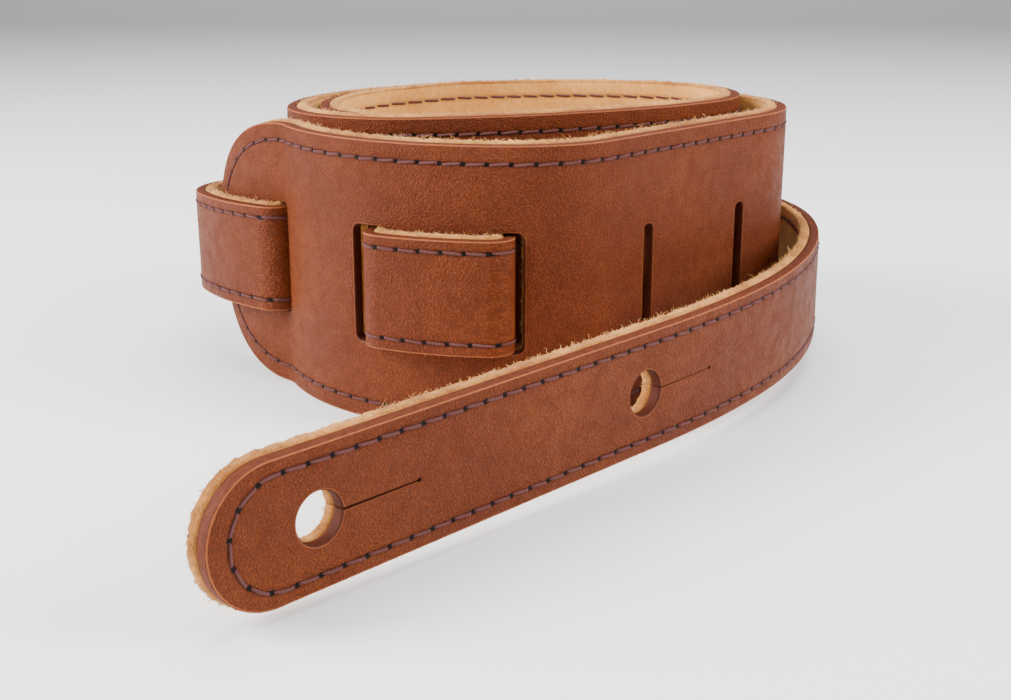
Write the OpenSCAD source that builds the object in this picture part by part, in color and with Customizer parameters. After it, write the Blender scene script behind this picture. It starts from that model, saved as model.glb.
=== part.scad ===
// Guitar strap, rolled up and standing on its edge.
// A wide two-layer leather band with a ladder of upright slots is rolled into a coil. A narrow
// two-layer tail is woven through three of the slots, runs once round the coil and ends in a
// free tip with a button hole. In plan, every path follows the seam plane between the layers.

/* [Leather] */
// Thickness of the brown face layer
face_t = 2.5; // [2.4:0.1:2.6]
// Thickness of the tan lining layer
lining_t = 2.5; // [2.4:0.1:2.6]
// Width of the band
band_w = 63.5; // [62:0.5:65]
// Width of the tail
tail_w = 25.4; // [24:0.2:26]

/* [Stitching] */
// Distance of the seam from the band's edge
band_margin = 4.0; // [3:0.1:5]
// Distance of the seam from the tail's edge
tail_margin = 2.7; // [2.4:0.1:3.2]
// How far the thread stands out of the leather
thread_proud = 0.12; // [0.1:0.01:0.13]
// Width of the thread
thread_w = 0.9; // [0.6:0.1:1.2]

/* [Holes and slots] */
// Radius of the button holes
button_r = 4.7; // [4:0.1:5]
// Distance of the tip's button hole from the end of the tail
button_in = 21.7; // [21:0.1:23]
// Distance between the tail's two button holes
button_step = 82.2; // [81:0.1:83]
// Length of a slit, from the centre of its button hole
slit_l = 21.5; // [14:0.5:22]
// Width of a slit
slit_w = 0.6; // [0.4:0.1:0.8]
// Height of the ladder slots
slot_h = 26.6; // [26.4:0.1:28]
// Width of an empty ladder slot
slot_w = 3.4; // [3:0.1:4]
// Width of a slot that the tail holds open
open_slot_w = 7; // [6.8:0.1:7.2]
// Width of the slot where the outside loop of the tail starts
wide_slot_w = 9; // [8.8:0.1:9.2]

/* [Hidden] */
$fn = 96;

// How far a bend's chords may stray from its arc
sag = 0.03;
// Gap that lets one stretch of leather turn past the next at a hinging bend
bend_gap = 0.4;
// Where the thread stops short of a hinging bend
thread_gap = 3.5;
// Room under the thread, which lies lightly on the leather
thread_seat = 0.04;

// The front panel is an arc about this point
front_centre = [0.5, 37.6];
front_r = 55;
// Direction from that centre to where the rounded end bends away from the arc
flare_a = -157;

// The ladder: its first slot's distance from the rounded end, and its pitch
first_slot = 31.9;
slot_step = 35;
// Corner radius of its slots
slot_r = slot_w / 2 - 0.1;

// Radius of the bends where the tail goes through a slot
weave_r = 3.2;
// Distance between the seam planes of band and tail where they lie on each other
lie = face_t + lining_t + 0.3;

// Height of the tail's middle where it is woven, and where its free length starts
weave_z = 31.4;
free_z = 20;
// Slope of the free length, in degrees
free_fall = 1.5;

// ---- Paths -------------------------------------------------------------------------------
// A state is [x, y, heading, distance so far]. A path is a list of stretches [radius, turn]:
// a left turn is positive, and a straight stretch is [length, 0].

function run(p) = p[1] == 0 ? p[0] : PI * p[0] * abs(p[1]) / 180;
function along(s, p, d) =
    p[1] == 0 ? [s[0] + d * cos(s[2]), s[1] + d * sin(s[2]), s[2], s[3] + d]
    : let (side = sign(p[1]), h = s[2] + side * d / p[0] * 180 / PI)
      [s[0] + side * p[0] * (sin(h) - sin(s[2])), s[1] - side * p[0] * (cos(h) - cos(s[2])),
       h, s[3] + d];
function after(s, path, n) =
    n == 0 ? s : along(after(s, path, n - 1), path[n - 1], run(path[n - 1]));
function stations(s, path) = [for (i = [0 : len(path)]) after(s, path, i)];
function end_of(s, path) = after(s, path, len(path));
function turned_round(s) = [s[0], s[1], s[2] + 180, 0];
function reverse(path) =
    [for (i = [len(path) - 1 : -1 : 0]) [path[i][0], -path[i][1]]];
function front_state(a, h) =
    [front_centre[0] + front_r * cos(a), front_centre[1] + front_r * sin(a), h, 0];

// The rounded end, from the front arc outwards
end_path = [[12, 27], [70, -25]];
end_l = run(end_path[0]) + run(end_path[1]);
band_start = turned_round(end_of(front_state(flare_a, flare_a - 90), end_path));
// The band, from its rounded end inwards to the bend of its inner end
band_path = concat(reverse(end_path), [
    [front_r, 69.2],
    [25, 45.5],
    [61.5, 0],
    [31, 68.5],
    [65.5, 49.5],
    [65, 61],
    [53, 46.8],
    [32.8, 66.4],
    [25, 20.8],
    [120, 8],
    [110, 33.5],
    [25.5, 118],
    [61, 34],
    [199.5, 12],
    [24, 78.5]
]);
// The band's inner end: a bend and a flat stretch
tongue_path = [[24, 86], [42, 0]];

// Directions from the front arc's centre to the two slots on it
function slot_a(n) = flare_a + (first_slot + n * slot_step - end_l) / front_r * 180 / PI;
// The tail goes through slots 1 and 2 nearer to each other than the slots' own middles
loop_in = [3.8, -3];
far_a = slot_a(1) + loop_in[0] / front_r * 180 / PI;
near_a = slot_a(2) + loop_in[1] / front_r * 180 / PI;
// Each slot's width, and how far it has been pulled along the band and sits below the middle
slot_shapes = [
    [open_slot_w, 0, 0.3],
    [wide_slot_w, 2.1, 0.3],
    [open_slot_w, -2.3, 0.3],
    [slot_w, 0, 2],
    [slot_w, 2, 2]
];

// The tail's hidden end, from the near slot inwards
stub_path = [[2.3, 0], [weave_r, -83], [25 - lie, 39.2], [12, 0]];
tail_start = turned_round(end_of(front_state(near_a, near_a + 180), stub_path));
// Extra turn of the bends that lead on to the outside of the arc, and off its inside
over = asin(weave_r / (front_r + lie - weave_r));
under = asin(weave_r / (front_r - lie + weave_r));
weave_path = [
    [12, 0],
    [25 - lie, -39.2],
    [weave_r, 83],
    [4.3, 0],
    [weave_r, -90 - over],
    [front_r + lie, 2 * over - near_a + far_a],
    [weave_r, -90 - over],
    [4.2, 0],
    [weave_r, 90 - under],
    [front_r - lie, -30.5 - loop_in[0] / front_r * 180 / PI],
    [weave_r, 112.5],
    [4.3, 0],
    [weave_r, -85.1]
];
round_path = [
    [70 + lie, -23.4],
    [24, -47],
    [89, -39.5],
    [99.5, -38],
    [65, -49],
    [53, -30],
    [83, -13.5]
];
near_path = [[136, -23.5]];
middle_path = [[240, -9.5], [30, 0]];
tip_path = [[79.25, 0]];

weave_l = end_of(tail_start, weave_path)[3];
near_state = end_of(tail_start, concat(weave_path, round_path));
middle_state = end_of(near_state, near_path);
tip_state = end_of(middle_state, middle_path);
tip_end = end_of(tip_state, tip_path);
tongue_state = end_of(band_start, band_path);
tongue_end = end_of(tongue_state, tongue_path);
band_l = tongue_state[3];
woven_l = near_state[3];

// How far the band's turns have ridden up out of the coil, by distance
inner_rise = 0.3;
rise = [[0, 0], [180, 0], [390, 0.8], [480, 2], [630, 2.8], [band_l, inner_rise]];

// ---- Straps ------------------------------------------------------------------------------
// A strap is [stations, path, side of the brown face (1 is left), width, seam margin,
// height of its middle by distance, lean by distance]. It starts in a half-round end.

band = [
    stations(band_start, band_path), band_path, -1, band_w, band_margin,
    [for (q = rise) [q[0], band_w / 2 + q[1]]],
    [[0, 0], [1, 0]]
];
tail_path = concat(weave_path, round_path);
tail = [
    stations(tail_start, tail_path), tail_path, 1, tail_w, tail_margin,
    [[0, weave_z], [weave_l, weave_z], [woven_l, free_z]],
    [[woven_l - 60, 0], [woven_l, 1]]
];

// The free length's upright direction once it slopes down along its tip's heading
fall_h = tip_state[2];
free_up = [sin(free_fall) * cos(fall_h), sin(free_fall) * sin(fall_h), cos(free_fall)];

// State of a strap at distance u
function spot(strap, u, i = 0) =
    i == len(strap[1]) - 1 || u < strap[0][i + 1][3]
    ? along(strap[0][i], strap[1][i], u - strap[0][i][3])
    : spot(strap, u, i + 1);
// Point at distance u along a strap, v up from its middle, out from its seam plane
function place(strap, u, v, out) =
    let (s = spot(strap, u), up = [0, 0, 1] + lookup(u, strap[6]) * (free_up - [0, 0, 1]))
    [s[0] - strap[2] * out * sin(s[2]), s[1] + strap[2] * out * cos(s[2]), lookup(u, strap[5])]
    + v * up;

// Distances of a strap's cross-sections between a and b
function pieces(p) = p[1] == 0 ? ceil(p[0] / 30) : ceil(abs(p[1]) / (2 * acos(1 - sag / p[0])));
function marks(strap, a, b) = concat(
    [a],
    [for (i = [0 : len(strap[1]) - 1])
        let (p = strap[1][i], n = pieces(p), from = strap[0][i][3])
            for (j = [1 : n])
                let (u = from + run(p) * j / n)
                    if (u > a + 0.8 && u < b - 0.8) u],
    [b]
);

// ---- Swept solids ------------------------------------------------------------------------

// Joins rings of four corners into one solid
module sweep(rings) {
    n = len(rings);
    walls = [
        for (i = [0 : n - 2])
            for (k = [0 : 3])
                let (a = 4 * i + k, b = 4 * i + (k + 1) % 4)
                    for (f = [[a, b, b + 4], [a, b + 4, a + 4]]) f
    ];
    ends = [[3, 2, 1, 0], [4 * n - 4, 4 * n - 3, 4 * n - 2, 4 * n - 1]];
    polyhedron(points = [for (r = rings) for (p = r) p], faces = concat(walls, ends));
}

// A ring round a layer's section, from corner a to corner b, which are [u, v]
function ring(strap, a, b, layer) =
    let (o = strap[2] > 0 ? layer : [layer[1], layer[0]])
    [place(strap, a[0], a[1], o[0]), place(strap, a[0], a[1], o[1]),
     place(strap, b[0], b[1], o[1]), place(strap, b[0], b[1], o[0])];

// A layer is the span it fills, measured outwards from the seam plane
face = [0, face_t];
lining = [-lining_t, 0];
face_seam = [face_t + thread_seat, face_t + thread_proud];
lining_seam = [-lining_t - thread_proud, -lining_t - thread_seat];

// One layer of a strap, from its half-round end to distance b
module layer_of(strap, layer, b) {
    r = strap[3] / 2;
    rounded = [for (a = [88 : -8 : 8]) [r * (1 - sin(a)), r * cos(a)]];
    square_on = [for (u = marks(strap, r, b)) [u, r]];
    sweep([for (q = concat(rounded, square_on)) ring(strap, [q[0], -q[1]], [q[0], q[1]], layer)]);
}

// The seam of a layer: along one edge, round the end and back along the other. Each of its
// points is [u, v, heading along u, heading along v].
module seam_of(strap, layer, b) {
    r = strap[3] / 2;
    m = r - strap[4];
    us = marks(strap, r, b);
    back = [for (i = [len(us) - 1 : -1 : 0]) [us[i], -m, -1, 0]];
    bow = [for (a = [-97.5 : -7.5 : -262.5]) [r + m * cos(a), m * sin(a), sin(a), -cos(a)]];
    forth = [for (u = us) [u, m, 1, 0]];
    w = thread_w / 2;
    sweep([for (q = concat(back, bow, forth))
        ring(strap, [q[0] + q[3] * w, q[1] - q[2] * w], [q[0] - q[3] * w, q[1] + q[2] * w], layer)]);
}

// ---- Cuts and outlines -------------------------------------------------------------------

// Turns a flat outline, with x along the strap and y up, into a block through a strap
module facing(s, depth) {
    translate([s[0], s[1], 0])
        rotate([0, 0, s[2]])
            translate([0, depth / 2, 0])
                rotate([90, 0, 0])
                    linear_extrude(height = depth)
                        children();
}

// An upright slot with round corners
module slot_outline(w) {
    square([w, slot_h - 2 * slot_r], center = true);
    square([w - 2 * slot_r, slot_h], center = true);
    for (x = [-1, 1], y = [-1, 1])
        translate([x * (w / 2 - slot_r), y * (slot_h / 2 - slot_r)])
            circle(r = slot_r);
}

// A button hole and its slit, which points back up the strap
module button_outline() {
    circle(r = button_r);
    translate([-slit_l, -slit_w / 2])
        square([slit_l, slit_w]);
    translate([-slit_l, 0])
        circle(r = slit_w);
}

// The tongue, full width at its bend and tapered to a round end
tongue_r = 15;
tongue_taper = 19.3;
module tongue_outline() {
    half = band_w / 2;
    rise = tongue_r * cos(tongue_taper);
    x = tongue_r * sin(tongue_taper);
    shoulder = x - (half - rise) / tan(tongue_taper);
    circle(r = tongue_r);
    polygon([[-80, -half], [shoulder, -half], [x, -rise], [x, rise], [shoulder, half], [-80, half]]);
}

// The tail's tip, with a half-round end, drawn smaller by inset
module tip_outline(inset) {
    r = tail_w / 2 - inset;
    circle(r = r);
    translate([-90, -r])
        square([90, 2 * r]);
}

// ---- Stiff stretches beyond the hinging bends ---------------------------------------------

// Outline in plan of one layer from state s along a path, between distances a and b. side is
// that of the brown face. With a at 0 it starts in a quarter round about the bend's axis.
function offset_point(s, side, out) = [s[0] - side * out * sin(s[2]), s[1] + side * out * cos(s[2])];
function plan_marks(s, path, a, b) = marks([stations([s[0], s[1], s[2], 0], path), path], a, b);
function plan_line(s, path, us, side, out) =
    let (strap = [stations([s[0], s[1], s[2], 0], path), path])
    [for (u = us) offset_point(spot(strap, u), side, out)];
function quarter(s, side, out) = [
    for (a = [0 : 10 : 80])
        offset_point([s[0] - abs(out) * cos(a) * cos(s[2]), s[1] - abs(out) * cos(a) * sin(s[2]), s[2]],
                     side, out * sin(a))
];
module plan_of(s, path, side, layer, a, b) {
    us = plan_marks(s, path, a, b);
    back = [for (i = [len(us) - 1 : -1 : 0]) us[i]];
    near = abs(layer[0]) < abs(layer[1]) ? layer[0] : layer[1];
    far = near == layer[0] ? layer[1] : layer[0];
    polygon(concat(
        a == 0 ? quarter(s, side, far) : [],
        plan_line(s, path, us, side, far),
        plan_line(s, path, back, side, near)
    ));
}

// The same as a solid of height w, about height 0
module stretch(s, path, side, layer, a, b, w) {
    translate([0, 0, -w / 2])
        linear_extrude(height = w)
            plan_of(s, path, side, layer, a, b);
}

function path_l(path) = end_of([0, 0, 0, 0], path)[3];

// ---- Band --------------------------------------------------------------------------------

module band_layer(layer) {
    difference() {
        layer_of(band, layer, band_l - face_t - bend_gap);
        for (n = [0 : len(slot_shapes) - 1])
            let (shape = slot_shapes[n])
                translate([0, 0, band_w / 2 - shape[2]])
                    facing(spot(band, first_slot + n * slot_step + shape[1]), 4 * face_t)
                        slot_outline(shape[0]);
    }
}

module band_face() {
    color("sienna") band_layer(face);
}

module band_lining() {
    color("tan") band_layer(lining);
}

module band_face_thread() {
    color("rosybrown") seam_of(band, face_seam, band_l - thread_gap);
}

module band_lining_thread() {
    color("rosybrown") seam_of(band, lining_seam, band_l - thread_gap);
}

// ---- Inner end of the band ----------------------------------------------------------------

tongue_z = band_w / 2 + inner_rise;
tongue_hole = along(tongue_end, [1, 0], -tongue_r);

module inner_end_layer(layer) {
    translate([0, 0, tongue_z])
        difference() {
            intersection() {
                stretch(tongue_state, tongue_path, -1, layer, 0, path_l(tongue_path), 2 * band_w);
                facing(tongue_hole, 120)
                    tongue_outline();
            }
            facing(tongue_hole, 20)
                button_outline();
        }
}

// The tongue as a strap, whose taper is straight when seen square on to its flat stretch
tongue = [
    stations([tongue_state[0], tongue_state[1], tongue_state[2], 0], tongue_path), tongue_path,
    -1, band_w, band_margin, [[0, tongue_z], [1, tongue_z]], [[0, 0], [1, 0]]
];
tongue_bend_l = run(tongue_path[0]);
tongue_hole_u = path_l(tongue_path) - tongue_r;
function bend_left(u) = max(0, tongue_bend_l - u) / tongue_path[0][0] * 180 / PI;
function seen(u) = max(u, tongue_bend_l) - tongue_hole_u - tongue_path[0][0] * sin(bend_left(u));

// Its seam is one line, out along the upper edge, round the tip and back along the lower one
module inner_end_seam(layer) {
    r = tongue_r - band_margin;
    tip_x = r * sin(tongue_taper);
    us = marks(tongue, thread_gap, tongue_hole_u + tip_x - 0.8);
    upper = [
        for (u = us)
            let (v = r * cos(tongue_taper) + (tip_x - seen(u)) * tan(tongue_taper),
                 full = band_w / 2 - band_margin,
                 slope = v < full ? -tan(tongue_taper) * cos(bend_left(u)) : 0,
                 l = sqrt(1 + slope * slope))
                [u, min(v, full), 1 / l, slope / l]
    ];
    turn = 90 - tongue_taper;
    bow = [
        for (a = [turn : -turn / 12 : -turn - 0.1])
            [tongue_hole_u + r * cos(a), r * sin(a), sin(a), -cos(a)]
    ];
    lower = [for (i = [len(us) - 1 : -1 : 0]) let (q = upper[i]) [q[0], -q[1], -q[2], q[3]]];
    w = thread_w / 2;
    sweep([for (q = concat(upper, bow, lower))
        ring(tongue, [q[0] + q[3] * w, q[1] - q[2] * w], [q[0] - q[3] * w, q[1] + q[2] * w], layer)]);
}

module inner_end_face() {
    color("sienna") inner_end_layer(face);
}

module inner_end_lining() {
    color("tan") inner_end_layer(lining);
}

module inner_end_face_thread() {
    color("rosybrown") inner_end_seam(face_seam);
}

module inner_end_lining_thread() {
    color("rosybrown") inner_end_seam(lining_seam);
}

// ---- Woven tail ---------------------------------------------------------------------------

module woven_tail_face() {
    color("sienna") layer_of(tail, face, woven_l - face_t - bend_gap);
}

module woven_tail_lining() {
    color("tan") layer_of(tail, lining, woven_l - face_t - bend_gap);
}

module woven_tail_face_thread() {
    color("rosybrown") seam_of(tail, face_seam, woven_l - thread_gap);
}

module woven_tail_lining_thread() {
    color("rosybrown") seam_of(tail, lining_seam, woven_l - thread_gap);
}

// ---- Free length of the tail ---------------------------------------------------------------

// Puts the free length on its slope. Its parts are drawn level, about height 0.
module sloped() {
    translate([near_state[0], near_state[1], free_z])
        rotate(a = free_fall, v = [-sin(fall_h), cos(fall_h), 0])
            translate([-near_state[0], -near_state[1], 0])
                children();
}

// Two seams of a stretch that has a hinging bend at both ends
module free_seams(s, path, layer) {
    edge = tail_w / 2 - tail_margin;
    sloped()
        for (z = [-edge, edge])
            translate([0, 0, z])
                stretch(s, path, 1, layer, thread_gap, path_l(path) - thread_gap, thread_w);
}

module near_tail_layer(layer) {
    sloped() stretch(near_state, near_path, 1, layer, 0, path_l(near_path) - face_t - bend_gap, tail_w);
}

module near_tail_face() {
    color("sienna") near_tail_layer(face);
}

module near_tail_lining() {
    color("tan") near_tail_layer(lining);
}

module near_tail_face_thread() {
    color("rosybrown") free_seams(near_state, near_path, face_seam);
}

module near_tail_lining_thread() {
    color("rosybrown") free_seams(near_state, near_path, lining_seam);
}

// The middle stretch holds the second button hole
middle_hole = along(tip_end, [1, 0], -button_in - button_step);
module middle_tail_layer(layer) {
    sloped()
        difference() {
            stretch(middle_state, middle_path, 1, layer, 0,
                    path_l(middle_path) - face_t - bend_gap, tail_w);
            facing(middle_hole, 20)
                button_outline();
        }
}

module middle_tail_face() {
    color("sienna") middle_tail_layer(face);
}

module middle_tail_lining() {
    color("tan") middle_tail_layer(lining);
}

module middle_tail_face_thread() {
    color("rosybrown") free_seams(middle_state, middle_path, face_seam);
}

module middle_tail_lining_thread() {
    color("rosybrown") free_seams(middle_state, middle_path, lining_seam);
}

// The tip: flat, with a half-round end and the first button hole
tip_round = along(tip_end, [1, 0], -tail_w / 2);
tip_hole = along(tip_end, [1, 0], -button_in);
// The seam turns a little further back than the leather's own end
seam_round = along(tip_round, [1, 0], -1.6);
module tail_tip_layer(layer) {
    sloped()
        difference() {
            intersection() {
                stretch(tip_state, tip_path, 1, layer, 0, path_l(tip_path), 2 * tail_w);
                facing(tip_round, 60)
                    tip_outline(0);
            }
            facing(tip_hole, 20)
                button_outline();
        }
}

module tail_tip_seam(layer) {
    sloped()
        difference() {
            intersection() {
                stretch(tip_state, tip_path, 1, layer, thread_gap, path_l(tip_path), 2 * tail_w);
                facing(seam_round, 60)
                    tip_outline(tail_margin - thread_w / 2);
            }
            facing(seam_round, 70)
                tip_outline(tail_margin + thread_w / 2);
        }
}

module tail_tip_face() {
    color("sienna") tail_tip_layer(face);
}

module tail_tip_lining() {
    color("tan") tail_tip_layer(lining);
}

module tail_tip_face_thread() {
    color("rosybrown") tail_tip_seam(face_seam);
}

module tail_tip_lining_thread() {
    color("rosybrown") tail_tip_seam(lining_seam);
}

band_face();
band_lining();
band_face_thread();
band_lining_thread();
inner_end_face();
inner_end_lining();
inner_end_face_thread();
inner_end_lining_thread();
woven_tail_face();
woven_tail_lining();
woven_tail_face_thread();
woven_tail_lining_thread();
near_tail_face();
near_tail_lining();
near_tail_face_thread();
near_tail_lining_thread();
middle_tail_face();
middle_tail_lining();
middle_tail_face_thread();
middle_tail_lining_thread();
tail_tip_face();
tail_tip_lining();
tail_tip_face_thread();
tail_tip_lining_thread();
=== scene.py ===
"""Looks of the rolled leather guitar strap.

The band and the tail are built flat, as layers of leather with their slots, holes, stitches and
frayed edges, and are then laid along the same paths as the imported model's solids.
"""

import math

import bmesh
import bpy
import numpy as np
from mathutils import Matrix, Vector
from mathutils.geometry import delaunay_2d_cdt


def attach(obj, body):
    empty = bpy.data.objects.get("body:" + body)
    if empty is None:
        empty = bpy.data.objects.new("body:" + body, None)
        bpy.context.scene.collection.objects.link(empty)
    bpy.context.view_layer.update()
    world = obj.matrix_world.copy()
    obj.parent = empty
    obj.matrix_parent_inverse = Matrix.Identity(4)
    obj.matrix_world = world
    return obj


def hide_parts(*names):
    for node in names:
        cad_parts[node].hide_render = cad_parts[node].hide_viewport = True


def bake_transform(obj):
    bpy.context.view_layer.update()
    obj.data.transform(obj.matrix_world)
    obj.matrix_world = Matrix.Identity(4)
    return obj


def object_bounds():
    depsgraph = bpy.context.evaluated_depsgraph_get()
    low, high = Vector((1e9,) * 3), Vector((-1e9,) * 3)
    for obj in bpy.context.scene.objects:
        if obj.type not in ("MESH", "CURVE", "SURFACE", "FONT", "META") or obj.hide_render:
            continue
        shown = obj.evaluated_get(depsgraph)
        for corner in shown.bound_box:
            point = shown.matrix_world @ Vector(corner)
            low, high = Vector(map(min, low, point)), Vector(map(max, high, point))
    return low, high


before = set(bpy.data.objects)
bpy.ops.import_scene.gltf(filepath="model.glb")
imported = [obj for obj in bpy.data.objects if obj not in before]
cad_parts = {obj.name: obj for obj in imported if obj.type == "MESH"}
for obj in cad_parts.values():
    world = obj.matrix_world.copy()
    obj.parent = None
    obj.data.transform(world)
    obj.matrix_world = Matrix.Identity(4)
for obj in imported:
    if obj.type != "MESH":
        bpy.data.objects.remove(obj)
cad_low, cad_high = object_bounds()
rng = np.random.default_rng(7)

MM = 0.001

# ---- Sizes of the leather, in millimetres ----------------------------------------------------

FACE = 2.5
LINING = 2.5
BAND_W = 63.5
TAIL_W = 25.4
BAND_MARGIN = 4.0
TAIL_MARGIN = 2.7
STITCH = 4.9
BUTTON_R = 4.7
# From the tail's tip to its first button hole, and from that to the second
BUTTON_IN = 21.7
BUTTON_STEP = 82.2
# Length of a slit from its button hole's centre
SLIT = 21.5
# How much further back the seam turns at the tail's tip than its margin asks for
SEAM_BACK = 1.6
# Rounding of the outer edges, and of the rims of the holes
BEVEL = 0.32
HOLE_RIM = 0.35
# How far a layer's surface has dropped at its rim
EDGE_DROP = 0.06
# Distance between the seam planes of band and tail where they lie on each other
LIE = FACE + LINING + 0.3
WEAVE_R = 3.2
FREE_FALL = math.radians(1.5)


# ---- Paths -----------------------------------------------------------------------------------
# A state is (x, y, heading in radians, distance so far), and a stretch is (radius, turn in
# degrees), a left turn being positive, or (length, 0) where it is straight.

def run(stretch):
    """Length of a stretch."""
    radius, turn = stretch
    return radius * abs(math.radians(turn)) if turn else radius


def along(state, stretch, d):
    """The state at distance d along a stretch."""
    x, y, h, u = state
    radius, turn = stretch
    if not turn:
        return (x + d * math.cos(h), y + d * math.sin(h), h, u + d)
    side = math.copysign(1, turn)
    h1 = h + side * d / radius
    return (x + side * radius * (math.sin(h1) - math.sin(h)),
            y - side * radius * (math.cos(h1) - math.cos(h)), h1, u + d)


def follow(state, path):
    """The states at both ends of every stretch of a path."""
    states = [state]
    for stretch in path:
        states.append(along(states[-1], stretch, run(stretch)))
    return states


def turned_round(state):
    """The same place, facing back, where a new path starts."""
    return (state[0], state[1], state[2] + math.pi, 0)


def reversed_path(path):
    return [(size, -turn) for size, turn in reversed(path)]


# The front panel is an arc about this point
FRONT = (0.5, 37.6)
FRONT_R = 55
# Direction from that centre to where the rounded end bends away from the arc
FLARE = -157


def on_front(angle, heading):
    """The state of a path that starts on the front arc."""
    a = math.radians(angle)
    return (FRONT[0] + FRONT_R * math.cos(a), FRONT[1] + FRONT_R * math.sin(a),
            math.radians(heading), 0)


END_PATH = [(12, 27), (70, -25)]
BAND_START = turned_round(follow(on_front(FLARE, FLARE - 90), END_PATH)[-1])
COIL_PATH = reversed_path(END_PATH) + [
    (FRONT_R, 69.2), (25, 45.5), (61.5, 0), (31, 68.5), (65.5, 49.5), (65, 61), (53, 46.8),
    (32.8, 66.4), (25, 20.8), (120, 8), (110, 33.5), (25.5, 118), (61, 34), (199.5, 12), (24, 78.5)]
TONGUE_PATH = [(24, 86), (42, 0)]

# The ladder: its first slot's distance from the rounded end, and its pitch
FIRST_SLOT = 31.9
SLOT_STEP = 35.0
END_L = sum(map(run, END_PATH))


def slot_angle(n):
    """Direction from the front arc's centre to a slot of the ladder."""
    return FLARE + math.degrees((FIRST_SLOT + n * SLOT_STEP - END_L) / FRONT_R)


# The tail goes through slots 1 and 2 nearer to each other than the slots' own middles
LOOP_IN = (3.8, -3.0)
FAR_A = slot_angle(1) + math.degrees(LOOP_IN[0] / FRONT_R)
NEAR_A = slot_angle(2) + math.degrees(LOOP_IN[1] / FRONT_R)
# Extra turn of the bends that lead on to the outside of the arc, and off its inside
OVER = math.degrees(math.asin(WEAVE_R / (FRONT_R + LIE - WEAVE_R)))
UNDER = math.degrees(math.asin(WEAVE_R / (FRONT_R - LIE + WEAVE_R)))
STUB = [(2.3, 0), (WEAVE_R, -83), (25 - LIE, 39.2), (12, 0)]
TAIL_START = turned_round(follow(on_front(NEAR_A, NEAR_A + 180), STUB)[-1])
WEAVE_PATH = [
    (12, 0), (25 - LIE, -39.2), (WEAVE_R, 83), (4.3, 0), (WEAVE_R, -90 - OVER),
    (FRONT_R + LIE, 2 * OVER - NEAR_A + FAR_A), (WEAVE_R, -90 - OVER), (4.2, 0),
    (WEAVE_R, 90 - UNDER), (FRONT_R - LIE, -30.5 - math.degrees(LOOP_IN[0] / FRONT_R)),
    (WEAVE_R, 112.5), (4.3, 0), (WEAVE_R, -85.1)]
ROUND_PATH = [
    (70 + LIE, -23.4), (24, -47), (89, -39.5), (99.5, -38), (65, -49), (53, -30), (83, -13.5)]
NEAR_PATH = [(136, -23.5)]
MIDDLE_PATH = [(240, -9.5), (30, 0)]
TIP_PATH = [(79.25, 0)]


def path_l(*paths):
    """Length of one or more paths."""
    return sum(run(stretch) for path in paths for stretch in path)


BAND_BEND = path_l(COIL_PATH)
BAND_L = BAND_BEND + path_l(TONGUE_PATH)
WEAVE_L = path_l(WEAVE_PATH)
TAIL_BENDS = [path_l(WEAVE_PATH, ROUND_PATH)]
TAIL_BENDS.append(TAIL_BENDS[0] + path_l(NEAR_PATH))
TAIL_BENDS.append(TAIL_BENDS[1] + path_l(MIDDLE_PATH))
TAIL_L = TAIL_BENDS[2] + path_l(TIP_PATH)


class Strap:
    """A strap on its path: u runs along it, v up across it and out from its seam plane."""

    def __init__(self, start, path, side, width, margin, heights, free_from=None):
        self.side, self.half, self.margin = side, width / 2, margin
        self.path = np.array(path, float)
        self.states = np.array(follow(start, path))
        self.length = self.states[-1, 3]
        self.heights = np.array(heights, float)
        self.free_from = free_from
        if free_from:
            x, y, heading = self.state(np.array([free_from]))
            self.pivot = np.array([x[0], y[0], self.heights[-1, 1]])
            fall_h = self.states[-1, 2]
            self.slope = np.array(Matrix.Rotation(
                FREE_FALL, 3, Vector((-math.sin(fall_h), math.cos(fall_h), 0))))

    def state(self, u):
        i = np.clip(np.searchsorted(self.states[:, 3], u, side="right") - 1, 0, len(self.path) - 1)
        x, y, h, start = self.states[i].T
        size, turn = self.path[i].T
        d, sign, bent = u - start, np.sign(turn), turn != 0
        h1 = h + np.where(bent, sign * d / size, 0)
        x1 = np.where(bent, x + sign * size * (np.sin(h1) - np.sin(h)), x + d * np.cos(h))
        y1 = np.where(bent, y - sign * size * (np.cos(h1) - np.cos(h)), y + d * np.sin(h))
        return x1, y1, h1

    def place(self, u, v, out):
        """Points of the strap in metres."""
        u, v, out = (np.asarray(a, float) for a in np.broadcast_arrays(u, v, out))
        x, y, h = self.state(u)
        x, y = x - self.side * out * np.sin(h), y + self.side * out * np.cos(h)
        up = np.zeros(u.shape + (3,))
        up[..., 2] = 1
        z = np.interp(u, self.heights[:, 0], self.heights[:, 1])
        if self.free_from:
            lean = np.clip(1 - (self.free_from - u) / 60, 0, 1)[..., None]
            up = up + lean * (self.slope[:, 2] - up)
        points = np.stack([x, y, z], -1) + v[..., None] * up
        if self.free_from:
            flat = np.stack([x, y, v], -1) - [self.pivot[0], self.pivot[1], 0]
            free = flat @ self.slope.T + self.pivot
            points = np.where((u > self.free_from)[..., None], free, points)
        # The edge that the roll stands on is pressed flat
        points[..., 2] = np.maximum(points[..., 2], 0)
        return points * MM

    def marks(self, longest=0.8, degrees=4.0):
        """Distances of cross-sections, closer together in tight bends."""
        us = [0.0]
        for (size, turn), start in zip(self.path, self.states[:, 3]):
            length = run((size, turn))
            n = max(1, math.ceil(length / longest), math.ceil(abs(turn) / degrees))
            us += list(start + length * np.arange(1, n + 1) / n)
        return np.array(us)


# Height of the middle of the woven tail, and of its free length where that starts
WEAVE_Z = 31.4
FREE_Z = 20
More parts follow.
